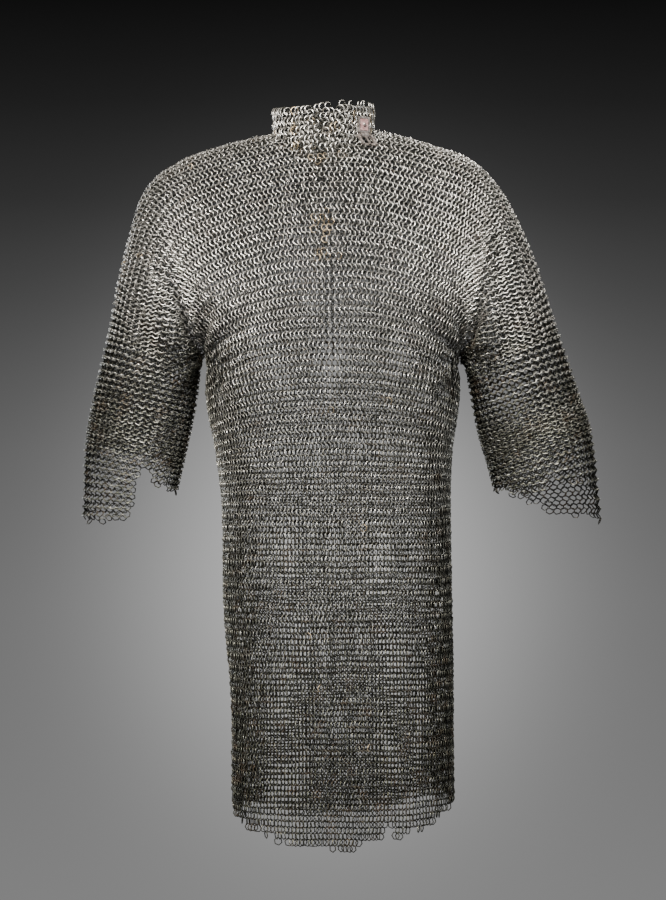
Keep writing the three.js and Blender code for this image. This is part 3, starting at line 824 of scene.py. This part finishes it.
def built(context, name, rings, node, collar=False):
    """Makes a piece, gives it its finish, hangs it on the garment and hides the part's node."""
    if not len(rings):
        raise RuntimeError(f"{name} has no rings")
    sizes, colours = context.scene.hauberk_rings, context.scene.hauberk_finish
    if collar:
        radius, wire, facets = sizes.collar_radius, sizes.collar_wire, COLLAR_FACETS
        finish = mail_finish("heavy_mail", colours, COLLAR_BRIGHT)
    else:
        radius, wire, facets = sizes.radius, sizes.wire, RING_FACETS
        finish = mail_finish("fine_mail", colours, MAIL_BRIGHT)
    seed = sizes.seed + sum(map(ord, name))
    piece = ring_piece(name, rings, radius / MM, wire / MM, sizes.lean, facets, seed)
    piece.data.materials.append(finish)
    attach(piece, "garment")
    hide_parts(node)


def build_face(context, face):
    """The chest, waist and skirt of one face."""
    chance = np.random.default_rng(context.scene.hauberk_rings.seed + face)
    side = "front" if face == FRONT else "back"
    node = f"body_{side}"
    chest = worn_and_shaded(yoke_rings(face), chance)
    chest = chest.kept((np.abs(chest.place) <= ARMHOLE + 0.01) & outside_neck(chest))
    if face == FRONT:
        chest = chest.kept(off_slit(chest, chance))
    built(context, f"{side}_chest", chest, node)
    waist = worn_and_shaded(body_rings(face, 0, WAIST_ROWS), chance)
    built(context, f"{side}_waist", waist, node)
    skirt = worn_and_shaded(body_rings(face, WAIST_ROWS, BODY_ROWS), chance)
    skirt = skirt.kept(above_hem(skirt, face, chance))
    built(context, f"{side}_skirt", skirt, node)


class HAUBERK_OT_front(bpy.types.Operator):
    """Link the rings of the front, with its slit and ragged hem"""

    bl_idname = "hauberk.front"
    bl_label = "Front"

    def execute(self, context):
        build_face(context, FRONT)
        return {"FINISHED"}


class HAUBERK_OT_back(bpy.types.Operator):
    """Link the rings of the back"""

    bl_idname = "hauberk.back"
    bl_label = "Back"

    def execute(self, context):
        build_face(context, BACK)
        return {"FINISHED"}


class HAUBERK_OT_sleeves(bpy.types.Operator):
    """Link the rings of both sleeves, down to their ragged cuffs"""

    bl_idname = "hauberk.sleeves"
    bl_label = "Sleeves"

    def execute(self, context):
        chance = np.random.default_rng(context.scene.hauberk_rings.seed + SLEEVE_SEED)
        faces = []
        for face in (FRONT, BACK):
            rings = worn_and_shaded(yoke_rings(face), chance)
            on_arm = np.abs(rings.place) > ARMHOLE + 0.01
            faces.append(rings.kept(on_arm & inside_cuff(rings, face, chance)))
        rings = joined(faces)
        for name, node, arm in (
            ("left_sleeve", "sleeve_left", rings.place < 0),
            ("right_sleeve", "sleeve_right", rings.place > 0),
        ):
            built(context, name, rings.kept(arm), node)
        return {"FINISHED"}


class HAUBERK_OT_collar(bpy.types.Operator):
    """Link the heavier rings of the standing collar"""

    bl_idname = "hauberk.collar"
    bl_label = "Collar"

    def execute(self, context):
        chance = np.random.default_rng(context.scene.hauberk_rings.seed + COLLAR_SEED)
        yoke = joined([yoke_rings(FRONT), yoke_rings(BACK)])
        x, y, _ = yoke.point.T
        yoke = yoke.kept(np.hypot(x - COLLAR_MIDDLE, y) < 2 * COLLAR_HALF_WIDTH)
        rings = collar_rings(yoke, chance)
        built(context, "standing_collar", rings, "collar", collar=True)
        return {"FINISHED"}


class HAUBERK_OT_buckle(bpy.types.Operator):
    """Finish the buckle, its red inlay and its rivet"""

    bl_idname = "hauberk.buckle"
    bl_label = "Buckle"

    def execute(self, context):
        iron = buckle_finish("buckle_iron_finish", (0.13, 0.11, 0.1), (0.5, 0.45, 0.42), 0.85, 0.36)
        red = buckle_finish("buckle_inlay_finish", (0.2, 0.09, 0.085), (0.45, 0.3, 0.29), 0.1, 0.5)
        for name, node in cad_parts.items():
            if name.startswith("buckle"):
                for slot in node.material_slots:
                    slot.material = red if name == "buckle_inlay" else iron
        return {"FINISHED"}


def area_light(name, place, target, size, power, colour):
    data = bpy.data.lights.new(name, "AREA")
    data.shape, data.size, data.energy, data.color = "DISK", size, power, colour
    light = bpy.data.objects.new(name, data)
    light.location = place
    light.rotation_mode = "QUATERNION"
    light.rotation_quaternion = (Vector(target) - Vector(place)).to_track_quat("-Z", "Y")
    bpy.context.scene.collection.objects.link(light)


def sweep_mesh():
    """A floor that bends up into a wall."""
    curve = [(SWEEP_NEAR, FLOOR), (WALL - BEND, FLOOR)]
    for step in range(1, BEND_STEPS + 1):
        angle = math.pi / 2 * step / BEND_STEPS
        curve.append((WALL - BEND + BEND * math.sin(angle), FLOOR + BEND * (1 - math.cos(angle))))
    curve.append((WALL, SWEEP_TOP))
    corners = [(x, y, z) for y, z in curve for x in (-SWEEP_HALF_WIDTH, SWEEP_HALF_WIDTH)]
    faces = [(2 * i, 2 * i + 1, 2 * i + 3, 2 * i + 2) for i in range(len(curve) - 1)]
    mesh = bpy.data.meshes.new("sweep")
    mesh.from_pydata(corners, [], faces)
    return mesh


class HAUBERK_OT_stage(bpy.types.Operator):
    """Set the grey sweep, the soft lights and the camera"""

    bl_idname = "hauberk.stage"
    bl_label = "Stage"

    def execute(self, context):
        mesh = sweep_mesh()
        mesh.materials.append(painted_light_backdrop())
        sweep = bpy.data.objects.new("sweep", mesh)
        context.scene.collection.objects.link(sweep)
        world = bpy.data.worlds.new("soft_room")
        world.use_nodes = True
        room = world.node_tree.nodes["Background"].inputs
        room["Color"].default_value, room["Strength"].default_value = ROOM_COLOUR, ROOM_STRENGTH
        context.scene.world = world
        for light in LIGHTS:
            area_light(*light)
        lens = bpy.data.cameras.new("camera")
        lens.lens, lens.sensor_width, lens.clip_end = LENS, SENSOR, 50
        camera = bpy.data.objects.new("camera", lens)
        camera.location = (EYE_X, -EYE_DISTANCE, -EYE_DROP)
        camera.rotation_euler = (math.radians(90), 0, 0)
        context.scene.collection.objects.link(camera)
        context.scene.camera = camera
        return {"FINISHED"}


OPERATORS = (
    HAUBERK_OT_stage,
    HAUBERK_OT_front,
    HAUBERK_OT_back,
    HAUBERK_OT_sleeves,
    HAUBERK_OT_collar,
    HAUBERK_OT_buckle,
)


class HAUBERK_PT_panel(bpy.types.Panel):
    bl_idname = "HAUBERK_PT_panel"
    bl_label = "Hauberk"
    bl_space_type = "VIEW_3D"
    bl_region_type = "UI"
    bl_category = "Hauberk"

    def draw(self, context):
        for settings in (context.scene.hauberk_rings, context.scene.hauberk_finish):
            for name in settings.__annotations__:
                self.layout.prop(settings, name)
        for operator in OPERATORS:
            self.layout.operator(operator.bl_idname)


CLASSES = (HauberkRings, HauberkFinish, *OPERATORS, HAUBERK_PT_panel)


def register():
    for made in CLASSES:
        bpy.utils.register_class(made)
    bpy.types.Scene.hauberk_rings = PointerProperty(type=HauberkRings)
    bpy.types.Scene.hauberk_finish = PointerProperty(type=HauberkFinish)


def unregister():
    del bpy.types.Scene.hauberk_finish
    del bpy.types.Scene.hauberk_rings
    for made in reversed(CLASSES):
        bpy.utils.unregister_class(made)


def main():
    register()
    for operator in OPERATORS:
        group, name = operator.bl_idname.split(".")
        getattr(getattr(bpy.ops, group), name)()


if __name__ == "__main__":
    main()
